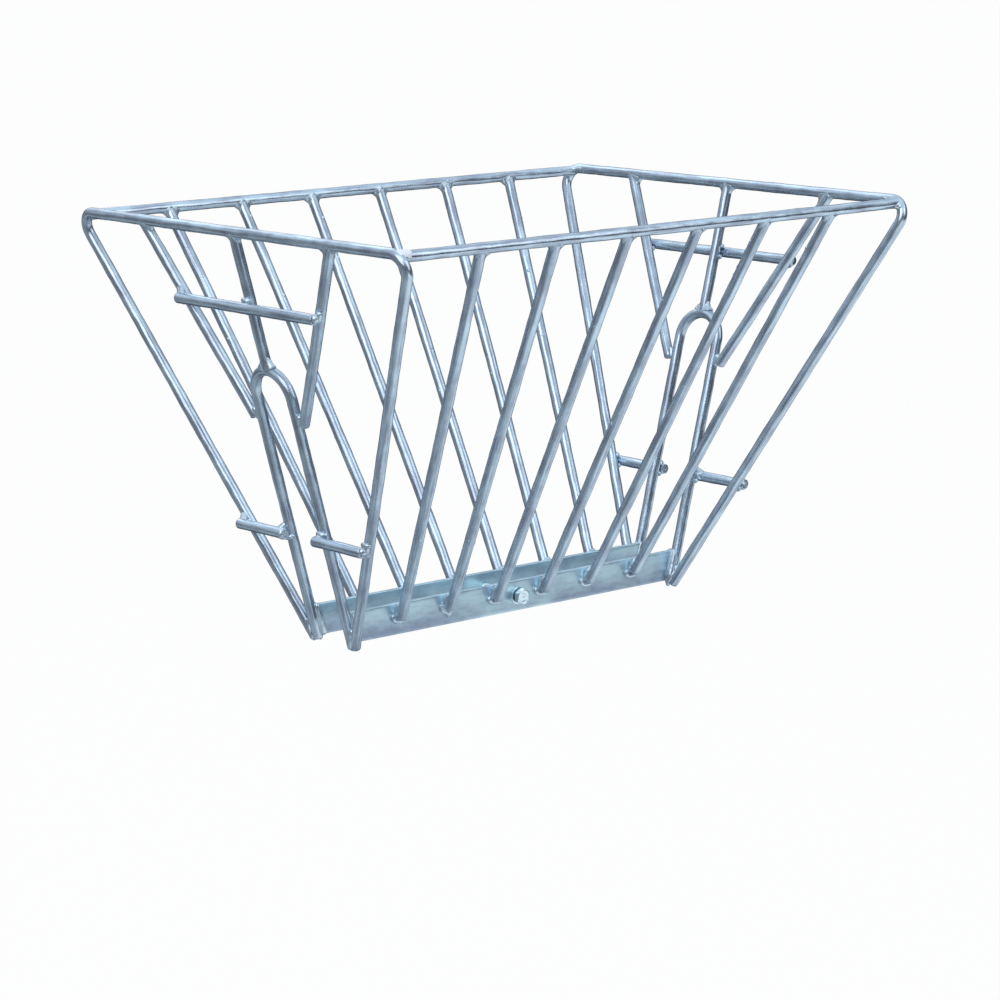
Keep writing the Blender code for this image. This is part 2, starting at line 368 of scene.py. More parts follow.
def tube(points, reach, first, second, angle):
    """Rings about points: reach times the cosine of the angle on first and its sine on second."""
    return points[:, None] + reach[..., None] * (
        np.cos(angle)[..., None] * first[:, None] + np.sin(angle)[..., None] * second[:, None]
    )


def bar_surface(path, side, seed, drips=(False, False)):
    """A round bar along a path: circles square to it, waves of zinc on them, and cut ends.

    side is a direction square to the whole path. An end is a flat disc with a worn edge; an
    end that zinc dripped from is a low dome instead.
    """
    tangent = unit(np.gradient(path, axis=0))
    second = unit(np.cross(tangent, side))
    first = np.cross(second, tangent)
    steps = np.linspace(0, math.pi / 2, 4)
    size = np.r_[0.0, 0.35, 0.7, (bar_radius - worn_edge * (1 - np.sin(steps))) / bar_radius]
    flat = worn_edge * np.r_[1, 1, 1, np.cos(steps)]
    dome = drip_height * np.sqrt(np.clip(1 - size ** 2, 0, 1))
    start, stop = (np.maximum(flat, dome)[:, None] if drip else flat[:, None] for drip in drips)
    points = np.concatenate([
        path[0] - tangent[0] * start, path, path[-1] + tangent[-1] * stop[::-1]
    ])
    scale = np.r_[size, np.ones(len(path)), size[::-1]][:, None]
    first, second = (
        np.pad(way, ((len(size), len(size)), (0, 0)), "edge") for way in (first, second)
    )
    angle = full_turn(bar_columns)[None]
    reach = scale * (bar_radius + zinc_waves(distances(points)[:, None], angle, seed))
    return tube(points, reach, first, second, angle)


def galvanised(
    name, colour, roughness, contrast, wave, streaks=0.0, painted_shade_heights=None, metal=0.85, spread=0.28
):
    """Hot-dip zinc: soft clouds from the bath, faint crystals, fine grain and a low bump.

    streaks is how strongly the lines of the drawn bar show through, along "lay". When a pair of
    heights is given for a flat bar, its colour is painted dark below them and pale above: painted
    shade and painted reflection. Its streaks then run level, and a pale patch lies mid-length.
    spread is how far tones go to either side.
    """
    material = bpy.data.materials.new(name)
    nodes, output = start_tree(material, "OutputMaterial")

    def noise(vector, scale, detail, rough):
        return nodes.node("TexNoise", sockets={
            "Vector": vector, "Scale": scale, "Detail": detail, "Roughness": rough,
        })

    place = nodes.node("TexCoord", output="Object")
    cloud = noise(place, scale=46.0, detail=3.0, rough=0.5)
    fine = noise(place, scale=520.0, detail=2.0, rough=0.5)
    crystal = nodes.node("TexVoronoi", sockets={"Vector": place, "Scale": 190.0}, output="Color")
    facet = nodes.node("SeparateColor", sockets={0: crystal})
    patch = cloud.between(0.32, 0.70)
    if painted_shade_heights:
        level = (0.12, 0.4, 0.4)
        lay = nodes.node("Mapping", sockets={"Vector": place, "Scale": level})
    else:
        lay = nodes.node("Attribute", {"attribute_name": "lay"}, output="Vector")
    line = noise(lay, scale=330.0, detail=2.0, rough=0.6)
    streak = (line.between(0.36, 0.64) - 0.5) * streaks
    grain = (patch - 0.5) * 0.8 + (facet - 0.5) * 0.25 + (fine - 0.5) * 0.25
    tone = 0.5 + grain * contrast + streak
    # Painted shade and reflection on a flat bar: darker towards its bottom edge, paler towards its
    # top. A pale patch is also added low at mid-length.
    if painted_shade_heights:
        x = nodes.node("SeparateXYZ", sockets={0: place})
        low = x.output("Z").between(*painted_shade_heights)
        middle = x.between(-0.11, -0.04) * x.between(0.08, 0.03)
        tone = tone + (low - 0.5) * 0.9 + (1.0 - low) * middle * 0.6
    dark = [c * (1 - spread) * lilac for c, lilac in zip(colour, (1.04, 0.97, 1.03))]
    pale = [min(1.0, c * (1 + spread)) for c in colour]
    shade = nodes.node("Clamp", sockets={0: tone}).mix((*dark, 1.0), (*pale, 1.0))
    dull = roughness + ((patch - 0.5) * 0.14 + (fine - 0.5) * 0.03) * contrast + streak * 0.08
    bump = nodes.node("Bump", sockets={
        "Strength": wave, "Distance": 0.0010, "Height": cloud * 0.9 + streak * 0.3,
    })
    nodes.node("BsdfPrincipled", sockets={
        "Base Color": shade, "Roughness": dull, "Metallic": metal, "Normal": bump,
    }).feed(output)
    return material


bar_zinc = galvanised("bar_zinc", (0.52, 0.63, 0.72), 0.22, 0.50, 0.16, streaks=0.8)


def add_bar(kind, name, path, side, seed, drips=(False, False)):
    """A bent or straight bar along a path; side is a direction square to it."""
    mesh = mesh_from_grids([bar_surface(path, side, seed, drips)])
    add_piece(kind + "_" + name, mesh, bar_zinc, replaced=[name])


foot_up = up_the_end(foot_z)
frame_foot_y = corner_y - corner_slope * (rim_z - foot_z)
frame_line = rounded_line(
    [(-frame_foot_y, foot_up), (-corner_y, 0), (corner_y, 0), (frame_foot_y, foot_up)], bend_radius
)
for end, sign in end_signs:
    path, side = end_point(sign, 0, *frame_line.T), end_way(sign, 1, 0, 0)
    add_bar("bent", "end_frame_" + end, path, side, 10 + sign, (True, True))

# Hooks. Each is a bar bent to a narrow inverted U whose crown carries the rack. Its legs run
# down to the feet of the end frame and are welded to them and to both sill plates.
leg_y = 0.0315
crown_inner_radius = 0.01685
crown_up = up_the_end(crown_inner_radius + bar_radius)

hook_line = rounded_line(
    [(-leg_y, foot_up), (-leg_y, crown_up), (leg_y, crown_up), (leg_y, foot_up)], leg_y - 1e-6
)
for end, sign in end_signs:
    path, side = end_point(sign, 0, *hook_line.T), end_way(sign, 1, 0, 0)
    add_bar("bent", "hook_" + end, path, side, 20 + sign, (True, True))

# Straight bars of the two long sides: a rim bar from bend to bend, and six bars under it
# that lean in to the sill plate. All are cut to length from the same 12 mm bar.
rim_bar_angle = math.radians(34)
bar_numbers = range(1, 7)
rim_pitch = 0.1012
sill_pitch = 0.0693
sill_inner_y = 0.026
sill_outer_y = 0.031
gap = 0.0003
foot_short = 0.003
side_signs = (("front", 1), ("rear", -1))

half_angle = math.atan2(rim_z - sill_z, (corner_y - corner_sill_y) * math.cos(lean)) / 2
bend_start_y = corner_y - bend_radius / math.tan(half_angle)
rim_bar_y = bend_start_y + bend_radius * math.sin(rim_bar_angle)
rim_bar_drop = bend_radius * (1 - math.cos(rim_bar_angle))
rim_bar_z = rim_z - rim_bar_drop * math.cos(lean)
rim_bar_half = rim_half - rim_bar_drop * math.sin(lean)
bar_foot_y = sill_outer_y + gap + bar_radius * (rim_bar_z - sill_z) / math.hypot(
    rim_bar_z - sill_z, rim_bar_y - sill_outer_y
)


def straight_path(start, end, spacing=0.004):
    """Evenly spaced points from one end to the other."""
    share = np.linspace(0, 1, int(np.linalg.norm(end - start) / spacing) + 2)[:, None]
    return start + (end - start) * share


def side_bar_ends(sign, number):
    """Foot and top of one slanting bar's axis; the rear side is the front one turned round."""
    place = number - (len(bar_numbers) + 1) / 2
    foot = (sign * place * sill_pitch, -sign * bar_foot_y, sill_z)
    top = (sign * place * rim_pitch, -sign * rim_bar_y, rim_bar_z)
    return np.array(foot), np.array(top)


for side, sign in side_signs:
    rim_end = np.array([sign * rim_bar_half, -sign * rim_bar_y, rim_bar_z])
    path = straight_path(rim_end * (-1, 1, 1), rim_end)
    add_bar("straight", "rim_bar_" + side, path, (0, 0, 1), 30 + sign)
    for number in bar_numbers:
        foot, top = side_bar_ends(sign, number)
        short = foot + (top - foot) * foot_short / np.linalg.norm(top - foot)
        path = straight_path(short, top)
        square = np.cross(path[-1] - path[0], (1, 0, 0))
        name = side + "_bar_" + str(number)
        seed = 40 + number * 2 + sign
        add_bar("straight", name, path[:-1], square, seed, drips=(True, False))

# Bracing bars of the two ends: a centre bar on the hook's crown, two slant bars to the
# hook's legs, a cross bar over them, and two short struts lower down.
slant_foot_z = -0.032
slant_top_y = 0.167
slant_foot_y = 0.0434
cross_bar_z = 0.096
cross_bar_ends_y = (-0.1165, 0.125)
strut_z = -0.161
strut_inner_y = 0.0272
strut_outer_y = 0.109
outer = 2 * bar_radius + gap
cross_bar_up, strut_up = up_the_end(cross_bar_z), up_the_end(strut_z)
slant_foot_up = up_the_end(slant_foot_z)
slant_slope = (slant_top_y - slant_foot_y) / (rim_z - slant_foot_z)


def add_end_bar(name, sign, start, end, seed, drips=(False, False)):
    """A straight bar between two points of an end's own frame."""
    path = straight_path(end_point(sign, *start), end_point(sign, *end))
    along = path[-1] - path[0]
    helper = (0, 1, 0) if abs(along[1]) < abs(along[2]) else (0, 0, 1)
    add_bar("straight", name, path, np.cross(along, helper), seed + sign, drips)


for end, sign in end_signs:
    add_end_bar("centre_bar_" + end, sign, (0, 0, crown_up), (0, 0, 0), 60)
    cross_ends = [(outer, sign * y, cross_bar_up) for y in cross_bar_ends_y]
    add_end_bar("cross_bar_" + end, sign, *cross_ends, 64)
    for side, across in (("_front", -1), ("_rear", 1)):
        slant_ends = (0, across * slant_foot_y, slant_foot_up), (0, across * slant_top_y, 0)
        add_end_bar("slant_bar_" + end + side, sign, *slant_ends, 70 + 4 * across, (True, False))
        strut_ends = [(outer, across * y, strut_up) for y in (strut_inner_y, strut_outer_y)]
        add_end_bar("lower_strut_" + end + side, sign, *strut_ends, 80 + 4 * across)

# Sill plates. Each is a length of 35 x 5 mm flat bar on edge between the legs of the hooks,
# with edges rounded by the rolling mill, ends cut to the legs, and a hole for the bolt. The
# side bars are welded to its outer face.
sill_depth = 0.035
sill_edge = 0.0007
plate_step = 0.004
bolt_hole_radius = 0.0055
# The plates' colour carries painted shade and reflection: darker at the bottom edge, paler towards
# the top.
plate_zinc = galvanised(
    "plate_zinc", (0.52, 0.68, 0.82), 0.32, 0.30, 0.12, streaks=0.26,
    painted_shade_heights=(sill_z - 0.5 * sill_depth, sill_z + 0.42 * sill_depth), spread=0.34,
)


def plate_surface(sign, seed):
    """A flat bar: rounded rectangles in the YZ plane, from one leg's surface to the other's.

    A point of the profile runs in X between the two legs. A leg's surface lies at its axis
    less the root of radius squared minus the distance across squared.
    """
    half_y = (sill_outer_y - sill_inner_y) / 2 - sill_edge
    half_z = sill_depth / 2 - sill_edge
    arcs = []
    for turn, (y, z) in enumerate(((1, 1), (-1, 1), (-1, -1), (1, -1))):
        angle = np.linspace(0, math.pi / 2, 5) + turn * math.pi / 2
        arcs.append(np.stack([
            y * half_y + sill_edge * np.cos(angle), z * half_z + sill_edge * np.sin(angle)
        ], axis=-1))
    flat = np.linspace(0, 1, 14)[1:-1, None]
    profile = []
    for arc, following in zip(arcs, arcs[1:] + arcs[:1]):
        profile += [arc, arc[-1] + (following[0] - arc[-1]) * flat]
    profile = np.concatenate(profile)
    share = np.linspace(0, 1, int(2 * sill_half / plate_step) + 1)
    share = np.pad(share, 3, "edge")[:, None]
    shrink = np.r_[0, 0.5, 0.96, np.ones(len(share) - 6), 0.96, 0.5, 0][:, None]
    across = (sill_inner_y + sill_outer_y) / 2 + profile[:, 0] * shrink
    height = sill_z + profile[:, 1] * shrink
    leg_x = sill_half + (height - sill_z) * math.tan(lean)
    near = np.sqrt(np.clip((bar_radius + gap) ** 2 - (across - leg_y) ** 2, 0, None))
    x = (leg_x - near / math.cos(lean)) * (2 * share - 1)
    chance = np.random.default_rng(seed)
    bow = 0.0
    for wavelength, size in ((0.31, 0.00025), (0.12, 0.00010), (0.05, 0.00005)):
        phase = chance.uniform(0, 2 * math.pi)
        bow = bow + size * np.sin(2 * math.pi * x / wavelength + phase + height * 40)
    return np.stack([sign * x, -sign * (across + bow * 0.4), height + bow * 0.3], axis=-1)


def drill(mesh, radius, centre, length):
    """Cut a round hole along Y through a mesh and return the cut copy."""
    bpy.ops.mesh.primitive_cylinder_add(
        vertices=48, radius=radius, depth=length, location=centre, rotation=(math.pi / 2, 0, 0)
    )
    drill_bit = bpy.context.active_object
    plate = bpy.data.objects.new("plate_blank", mesh)
    bpy.context.scene.collection.objects.link(plate)
    cut = plate.modifiers.new("hole", "BOOLEAN")
    cut.operation = "DIFFERENCE"
    cut.solver = "EXACT"
    cut.object = drill_bit
    bpy.context.view_layer.update()
    shaped = plate.evaluated_get(bpy.context.evaluated_depsgraph_get())
    drilled = bpy.data.meshes.new_from_object(shaped)
    bpy.data.objects.remove(plate)
    bpy.data.objects.remove(drill_bit)
    return drilled


for side, sign in side_signs:
    plate_y = -sign * (sill_inner_y + sill_outer_y) / 2
    solid = mesh_from_grids([plate_surface(sign, 90 + sign)])
    mesh = drill(solid, bolt_hole_radius, (0, plate_y, sill_z), 0.012)
    name = "sill_plate_" + side
    add_piece("flat_" + name, mesh, plate_zinc, [name], crease=30)

# Lock. An M10 hexagon bolt draws the two plates together, with a flat washer and a spring
# washer under its head and a washer and nut at the rear. Its zinc is thicker and brighter.
bolt_radius = 0.005
thread_pitch = 0.0015
thread_depth = 0.0007
thread_length = 0.030
hex_across = 0.017
hex_columns = 96
lock_turn = full_turn(hex_columns)
bolt_zinc = galvanised("bolt_zinc", (0.76, 0.95, 1.0), 0.20, 0.8, 0.25, metal=0.90, spread=0.10)
# The spring washer's zinc is painted very dark, so it shows as a dark ring under the bolt's head.
# This is partly a darker washer and partly painted shade of the gap under the head.
dark_zinc = galvanised("dark_zinc", (0.10, 0.15, 0.19), 0.36, 0.5, 0.20, metal=0.6)
# A hexagon's edge lies at half its width over the cosine of the angle to the nearest flat.
flank = hex_across / 2 / np.cos(np.mod(lock_turn + math.pi / 6, math.pi / 3) - math.pi / 6)


def rings_on_y(rows):
    """Rings about the bolt's axis; a row is a height and a distance, or one of each a column."""
    y, reach = (np.array([np.broadcast_to(row[k], hex_columns) for row in rows]) for k in (0, 1))
    return np.stack([reach * np.cos(lock_turn), y, sill_z + reach * np.sin(lock_turn)], axis=-1)


def chamfered_face(face_y, way):
    """Rows from a hexagon's face inwards, its corners turned off by a cone of 30 degrees."""
    depth = np.r_[0.0, 0.0003, 0.0006, 0.0009, 0.0012]
    cone = hex_across * 0.475 + depth * math.tan(math.radians(60))
    return [(face_y + way * d, np.minimum(flank, reach)) for d, reach in zip(depth, cone)]


def bolt_grid(low, high):
    """Face, head, shank with a thread that rises once round in a pitch, and a worn tip.

    The face was forged four degrees off square and is sunk a little in its rim.
    """
    face, tip = low[1], high[1]
    rows = []
    for share in np.linspace(0, 0.44, 12):
        dents = 0.00010 * np.sin(3 * lock_turn + 9 * share) * math.sin(22 * share)
        dish = 0.00012 * math.exp(-((share - 0.27) / 0.04) ** 2)
        off_square = 0.07 * hex_across * (0.44 - share * np.sin(lock_turn))
        rows.append((face + off_square + dish + dents, share * hex_across))
    rows.append((face + 0.0014, 0.456 * hex_across))
    rows += chamfered_face(face, 1)
    head_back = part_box("lock_spring_washer")[0][1] - gap
    rows += [(head_back - 0.0008, flank), (head_back, flank - 0.0007)]
    rows += [(head_back, hex_across * 0.42), (head_back, bolt_radius)]
    thread_start = tip - thread_length
    rows.append((thread_start, bolt_radius))
    for y in np.arange(thread_start, tip - 0.0012, thread_pitch / 8):
        turn = np.mod((y - tip) / thread_pitch + lock_turn / (2 * math.pi), 1)
        ridge = 1 - np.abs(2 * turn - 1)
        depth = thread_depth * min(1.0, (y - tip + thread_length) / 0.003)
        rows.append((y, bolt_radius - depth * (1 - ridge)))
    return rings_on_y(rows + [(tip - 0.0008, 0.0043), (tip, 0.0034), (tip, 0)])


def washer_grid(low, high):
    """A flat ring with slightly rounded outer corners, closed along its bore."""
    front, back, reach, edge = low[1], high[1], (high[0] - low[0]) / 2, 0.0004
    return rings_on_y([
        (front, bore), (front, reach - edge), (front + edge * 0.3, reach - edge * 0.3),
        (front + edge, reach), (back - edge, reach), (back - edge * 0.3, reach - edge * 0.3),
        (back, reach - edge), (back, bore), (front, bore),
    ])


def nut_grid(low, high):
    """A hexagon with both faces turned to a cone, and a bore on the bolt."""
    faces = chamfered_face(low[1], 1) + chamfered_face(high[1], -1)[::-1]
    return rings_on_y([(low[1], bore)] + faces + [(high[1], bore), (low[1], bore)])


def squared(wave, power):
    """A sine or a cosine with its size raised to a power, which squares a circle off."""
    return np.sign(wave) * np.abs(wave) ** power


def spring_washer_grid(low, high):
    """A split ring whose section is a circle squared off, with both of its ends closed."""
    reach = (high[0] - low[0]) / 2 - 0.0005
    section = full_turn(24)
    wide, thick = squared(np.cos(section), 0.45), squared(np.sin(section), 0.45)
    around = np.pad(np.radians(np.linspace(98, 442, 100)), 2, "edge")[:, None]
    size = np.r_[0, 0.9, np.ones(len(around) - 4), 0.9, 0][:, None]
    radius = (bore + reach) / 2 + (reach - bore) / 2 * wide * size
    height = (low[1] + high[1]) / 2 + (high[1] - low[1]) / 2 * thick * size
    return np.stack([radius * np.cos(around), height, sill_z + radius * np.sin(around)], axis=-1)


bore = bolt_radius + gap
for kind, grid_of, zinc in (
    ("bolt", bolt_grid, bolt_zinc), ("nut", nut_grid, bolt_zinc),
    ("washer_front", washer_grid, bolt_zinc), ("washer_rear", washer_grid, bolt_zinc),
    ("spring_washer", spring_washer_grid, dark_zinc),
):
    name = "lock_" + kind
    mesh = mesh_from_grids([grid_of(*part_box(name))])
    add_piece("zinc_" + name, mesh, zinc, [name], crease=28)

# Welds round the bars that end on another bar: each side bar on its rim bar, each rim bar on
# the bends, and the slant and centre bars on the end frames and crowns. The beads were laid by
# hand with a wire welder, so they are lumpy, and the zinc has softened them.
weld_zinc = galvanised("weld_zinc", (0.60, 0.72, 0.80), 0.28, 0.70, 0.16, streaks=0.3)


def weld_lumps(turn, seed):
    """Lumps of a hand-laid bead: slow sines for its pools and a quick one for its ripples."""
    chance = np.random.default_rng(seed)
    height = 0.0
    for waves, share in ((2, 0.30), (3, 0.35), (5, 0.30), (8, 0.25), (21, 0.14)):
        height = height + share * np.sin(waves * turn + chance.uniform(0, 2 * math.pi))
    return height


def weld_collar(foot, bar_way, cross_way, seed, climb=0.007, spread=0.005):
    """The fillet round a bar that ends on another round bar.

    Each line along the first bar meets the second at the far root of a quadratic. From that
    corner the weld climbs one bar and spreads over the other, with a parabola between that is
    pulled towards the corner. Where the surfaces run together both legs are short.
    """
    along = unit(bar_way)
    cross = unit(cross_way)
    angle = np.linspace(0, 2 * math.pi, 97)[:, None]
    first = unit(cross - (cross @ along) * along)
    outward = np.cos(angle) * first + np.sin(angle) * np.cross(along, first)

    def off_axis(vector):
        return vector - (vector @ cross)[..., None] * cross

    line = foot + bar_radius * outward
    start = off_axis(line - foot)
    step = off_axis(along)
    half_b = start @ step
    level = (start * start).sum(-1) - bar_radius ** 2
    root = np.sqrt(np.clip(half_b ** 2 - (step @ step) * level, 0, None))
    corner = line + ((root - half_b) / (step @ step))[:, None] * along
    normal = unit(off_axis(corner - foot))
    facing = (outward * normal).sum(-1, keepdims=True)
    opening = np.clip(1 - facing, 0.12, 1.2)
    away = outward - facing * normal - 0.25 * (along - (normal @ along)[:, None] * normal)
    lumps = weld_lumps(angle, seed)
    top = corner + climb * opening * (1 + 0.18 * lumps) * along + 0.0002 * outward
    low = corner + spread * opening * (1 + 0.18 * lumps[::-1]) * unit(away)
    low_out = unit(off_axis(low - foot))
    low = low + (bar_radius + 0.0002) * low_out - off_axis(low - foot)
    out = unit(outward + normal)
    pull = corner + 0.34 * (top - corner) + 0.34 * (low - corner)
    rows = [corner - 0.002 * out, top - 0.0012 * outward, top - 0.0002 * outward]
    for share in np.linspace(0, 1, 9):
        point = (1 - share) ** 2 * top + 2 * share * (1 - share) * pull + share ** 2 * low
        ripple = weld_lumps(angle + 1.5 * share, seed + 1) * math.sin(math.pi * share)
        rows.append(point + 0.0005 * opening * ripple * out)
    rows += [low - 0.0002 * low_out, low - 0.0014 * low_out]
    return np.stack(rows, axis=1)


for side, sign in side_signs:
    collars = []
    for end, end_sign in end_signs:
        bar_end = np.array([end_sign * rim_bar_half, -sign * rim_bar_y, rim_bar_z])
        tangent = end_way(end_sign, 0, -sign * math.cos(rim_bar_angle), -math.sin(rim_bar_angle))
        climb = 0.005 if sign < 0 else 0.0035 + 0.0015 * end_sign
        seed = 200 + 3 * sign + end_sign
        collars.append(weld_collar(bar_end, (-end_sign, 0, 0), tangent, seed, climb, 0.75 * climb))
    for number in bar_numbers:
        foot, top = side_bar_ends(sign, number)
        seed = 210 + 9 * number + sign
        collars.append(weld_collar(top, foot - top, (1, 0, 0), seed, 0.007, 0.0055))
    add_piece("rim_welds_" + side, mesh_from_grids(collars), weld_zinc)

for end, sign in end_signs:
    level = (0, 1, 0)
    up = end_way(sign, 0, 0, 1)
    crown_top = end_point(sign, 0, 0, crown_up)
    collars = [
        weld_collar(end_point(sign, 0, 0, 0), -up, level, 300 + sign, 0.007, 0.006),
        weld_collar(crown_top, up, level, 303 + sign, 0.0095 - 0.0005 * sign, 0.007),
    ]
    for across in (-1, 1):
        foot = end_point(sign, 0, across * slant_foot_y, slant_foot_up)
        top = end_point(sign, 0, across * slant_top_y, 0)
        collars.append(weld_collar(top, foot - top, level, 310 + 3 * sign + across))
    add_piece("end_welds_" + end, mesh_from_grids(collars), weld_zinc)

# Welds along bars that lie side by side or across each other: the cross bar and the struts
# over the bars that they brace, the slant bars' feet on the legs, and the pointed feet where
# an end frame and a hook come together. Zinc hangs from the points as short drips.
bead_step = 0.0006
bead_columns = 18
lump_length = 0.006
upright = (0, 1)


def bead_tube(path, radius, keel, seed, blunt=4, rough=0.07):
    """A bead along a path: circles square to it that swell with lumps and close at the ends.

    The size falls off towards both ends as the root of 1 - |2s - 1| to a power, where s runs
    from 0 to 1 along the path.
    """
    length = distances(path)
    share = (1 - np.cos(np.linspace(0, math.pi, max(14, int(length[-1] / bead_step))))) / 2
    along = share * length[-1]
    points = np.stack([np.interp(along, length, path[:, k]) for k in range(3)], axis=-1)
    radius = np.interp(along, length, np.broadcast_to(radius, len(path)))
    tangent = unit(np.gradient(points, axis=0))
    second = unit(np.cross(tangent, keel))
    angle = full_turn(bead_columns)[None]
    fall = np.sqrt(np.clip(1 - np.abs(2 * share - 1) ** blunt, 0, 1))
    turn = along[:, None] / lump_length
    lumps = 1 + rough * weld_lumps(turn + np.sin(angle) * 0.5, seed)
    return tube(points, (radius * fall)[:, None] * lumps, np.cross(second, tangent), second, angle)


def end_bead(sign, out, y, up, radius, seed, blunt, rough=0.07):
    """A bead along a path in an end's own frame."""
    path = end_point(sign, out, y, up)
    return bead_tube(path, radius, end_way(sign, 1, 0, 0), seed, blunt, rough)


def lap_beads(sign, y, up, under_way, seed, length=0.014, sides=(-1, 1)):
    """Arched beads above and below a crossing, in the corners of an outer and an inner bar.

    The inner bar's face stands at the root of radius squared less the distance from its axis
    squared, and a bead's middle rests a little outside that.
    """
    t = np.linspace(-length / 2, length / 2, 21)
    aside = np.clip(np.abs(t) * under_way[1], 0, 0.0055)
    out = np.sqrt(bar_radius ** 2 - aside ** 2) + 0.0010
    beads = []
    for side in sides:
        rise = side * (0.0048 + 0.0020 * (1 - (2 * t / length) ** 2))
        across = y + rise * under_way[0] / under_way[1] + t
        beads.append(end_bead(sign, out, across, up + rise, 0.0029, seed + side, 3))
    return beads


def end_cap_beads(sign, y, up, way, under_way, seed):
    """The puddle that ties the cut end of an outer bar to the bar under it.

    One bead runs up the inner bar past the cut end, and a shorter one lies on it and covers
    the end's disc. way is +1 or -1, the direction across in which the outer bar ends.
    """
    t = np.linspace(-1, 1, 15)
    beads = []
    for reach, out, aside, radius in (
        (0.0072, 0.0068, 0.0008, 0.0040), (0.0050, 0.0106, -0.0010, 0.0052)
    ):
        across = y + way * aside + reach * t * under_way[0] / under_way[1]
        layer = len(beads)
        beads.append(end_bead(sign, out, across, up + reach * t, radius, seed + layer, 2.4, 0.03))
    return beads


def boot_beads(sign, y, up, way, under_y, under_way, seed):
    """Beads from the flank of an inner bar out to the end of the outer bar, as a boot's toe.

    The path bends by a power law from the inner bar's axis, near under_y, to the outer bar's
    end at y, and swells on the way. A plug fills the corner under that end.
    """
    boot_height = 0.0095
    rise = np.linspace(boot_height, -0.001, 21)
    share = np.clip(rise / boot_height, 0, 1)
    flank_y = under_y + way * 0.0004 + rise * under_way[0] / under_way[1]
    across = share * flank_y + (1 - share) * (y - way * 0.0042)
    beads = []
    for inner, grow in ((0.0010, 0.0056), (0.0030, 0.0052)):
        out = inner + (outer - inner) * (1 - share) ** 1.1
        swell = grow - 0.0026 * share
        beads.append(end_bead(sign, out, across, up + rise, swell, seed + len(beads), 6, 0.02))
    across = np.linspace(under_y, y - way * 0.0025, 12)
    plug = end_bead(sign, outer - 0.0055, across, up + 0.0005, 0.0052, seed + 2, 6, 0.02)
    return beads + [plug]


def end_dab(sign, y, up, way, seed):
    """A dab of zinc over the cut end of an outer bar."""
    across = np.linspace(y - way * 0.0055, y + way * 0.0006, 8)
    return end_bead(sign, outer, across, up, 0.0064, seed, 8, 0.03)


def seam_beads(sign, line_y, heights, swell, seed):
    """Beads down both faces of a leg and a bar that comes to it, halfway between their axes.

    line_y is the bar's distance across at each height. The seam's depth is the root of radius
    squared less half their distance squared. swell is the radius at the foot and the top.
    """
    half = (line_y - leg_y * np.sign(line_y)) / 2
    middle = leg_y * np.sign(line_y) + half
    out = np.sqrt(np.clip(bar_radius ** 2 - half ** 2, 0.0000012, None)) + 0.0004
    radius = np.interp(heights, (heights[0], heights[-1]), swell)
    up = up_the_end(heights)
    return [
        bead_tube(end_point(sign, face * out, middle, up), radius, (0, 1, 0), seed + face, 4, 0.03)
        for face in (-1, 1)
    ]


def strut_beads(sign, across, booted, sides, seed):
    """Welds of one lower strut: on the leg, on the corner bar, and over its two cut ends."""
    leg, inner_end = across * leg_y, across * strut_inner_y
    outer_end = across * strut_outer_y
    corner = across * (corner_y - corner_slope * (rim_z - strut_z))
    corner_way = unit([across * corner_slope * math.cos(lean), 1.0])
    beads = lap_beads(sign, leg, strut_up, upright, seed + 3, 0.017, sides)
    beads += lap_beads(sign, corner, strut_up, corner_way, seed + 6, sides=sides)
    if booted:
        fillet = leg + across * 0.013
        beads += boot_beads(sign, fillet, strut_up, across, leg, upright, seed + 15)
        beads += boot_beads(sign, outer_end, strut_up, across, corner, corner_way, seed + 18)
        beads.append(end_dab(sign, inner_end, strut_up, -across, seed + 21))
        if sign > 0:
            beads.append(end_dab(sign, outer_end, strut_up, across, seed + 19))
    else:
        beads += end_cap_beads(sign, outer_end, strut_up, across, corner_way, seed + 15)
        if sign < 0:
            beads += boot_beads(sign, inner_end, strut_up, -across, leg, upright, seed + 17)
    return beads


def foot_drips(sign, across, seed):
    """Two short drips of zinc that hang from a pointed foot."""
    beads = []
    for shift, drop in ((-0.0032, 0.0040), (0.0028, 0.0030)):
        tip_y = across * (leg_y + 0.0015 + shift * 0.6)
        tip = end_point(sign, shift, tip_y, up_the_end(foot_z - 0.0005))
        path = tip + np.linspace(0.006, -drop, 12)[:, None] * np.array([0, 0, 1.0])
        swell = np.linspace(0.0038, 0.0022, 12)
        beads.append(bead_tube(path, swell, (0, 1, 0), seed + 30, 5, 0.04))
    return beads


